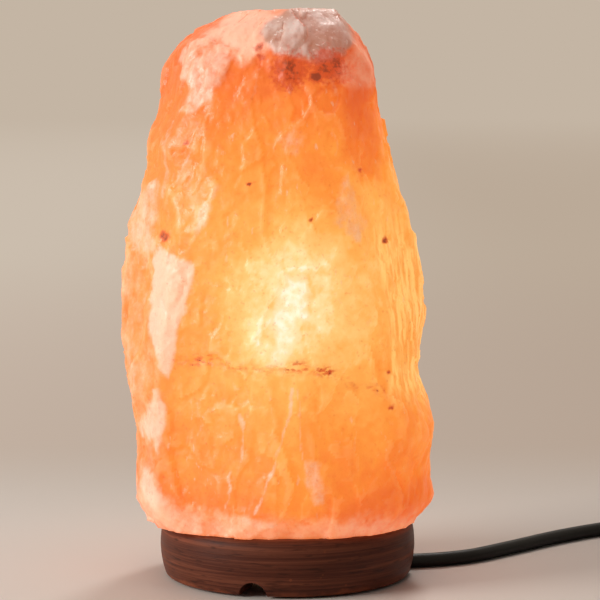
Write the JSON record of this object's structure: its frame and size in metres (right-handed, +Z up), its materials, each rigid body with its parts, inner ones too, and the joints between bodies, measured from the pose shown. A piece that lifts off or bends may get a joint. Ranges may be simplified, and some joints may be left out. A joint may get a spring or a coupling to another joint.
{
  "type": "salt crystal lamp",
  "caption": "Rough rock-salt crystal on a turned dark wood base, lit from inside by a clip-in screw bulb, with mains lead, in-line rocker switch and plug.",
  "frame": {"origin": "on the base's turning axis, at the table", "axes": "+Z up, x to the right and y away from the front"},
  "size_m": [0.3141, 0.1883, 0.2386],
  "materials": {
    "salt": "rough split rock salt, orange and translucent",
    "dark_wood": "turned, dark stained, satin",
    "felt": "matte felt",
    "zinc_steel": "zinc plated",
    "white_nylon": "moulded",
    "black_pvc": "smooth, slightly glossy",
    "black_plastic": "moulded, satin",
    "spring_steel": "bright rolled strip",
    "ceramic": "pressed steatite",
    "brass": "bright",
    "nickel": "nickel plated",
    "clear_glass": "clear",
    "black_glass": "opaque black",
    "brown_pvc": "smooth",
    "blue_pvc": "smooth"
  },
  "bodies": {
    "root": {"salt_crystal": "salt", "wooden_base": "dark_wood", "felt_pads": "felt", "fixing_screws": "zinc_steel", "wall_plugs": "white_nylon", "cord_to_switch": "black_pvc", "cord_to_coil": "black_pvc", "cord_coil": "black_pvc", "cord_to_plug": "black_pvc", "cord_tie": "black_plastic", "switch_base": "black_plastic", "switch_cover": "black_plastic", "shell_screws": "zinc_steel", "rocker_pivot": "zinc_steel", "fixed_contacts": "brass", "through_bar": "brass", "switch_cores_brown": "brown_pvc", "switch_cores_blue": "blue_pvc", "plug_body": "black_pvc", "plug_boot": "black_pvc", "plug_pins": "nickel", "pin_sleeves": "black_plastic"},
    "holder": {"holder_cap": "black_plastic", "holder_housing": "black_plastic", "spring_clip": "spring_steel", "cord_grip": "black_plastic", "grip_nut": "white_nylon", "grip_screw": "white_nylon", "contact_block": "ceramic", "centre_contact": "brass", "screw_shell": "brass", "terminal_screws": "zinc_steel", "core_brown": "brown_pvc", "core_blue": "blue_pvc", "inner_lead": "black_pvc"},
    "bulb": {"bulb_glass": "clear_glass", "bulb_cap": "nickel", "cap_insulator": "black_glass", "tip_contact": "nickel", "bulb_stem": "clear_glass", "lead_wires": "nickel", "support_wires": "nickel", "filament": "nickel"},
    "switch_rocker": {"rocker": "black_plastic", "moving_contact": "brass"}
  },
  "joints": [
    {"name": "holder_slide", "type": "slide", "parent": "root", "child": "holder", "axis": [0, 0, -1], "range_m": [0, 0.14]},
    {"name": "bulb_turn", "type": "hinge", "parent": "holder", "child": "bulb", "pos_m": [0, 0, 0.0545], "axis": [0, 0, 1], "range_deg": [0, 1800]},
    {"name": "switch_rock", "type": "hinge", "parent": "root", "child": "switch_rocker", "pos_m": [0.234, 0.029, 0.0127], "axis": [1, 0, 0], "range_deg": [0, 16]}
  ]
}
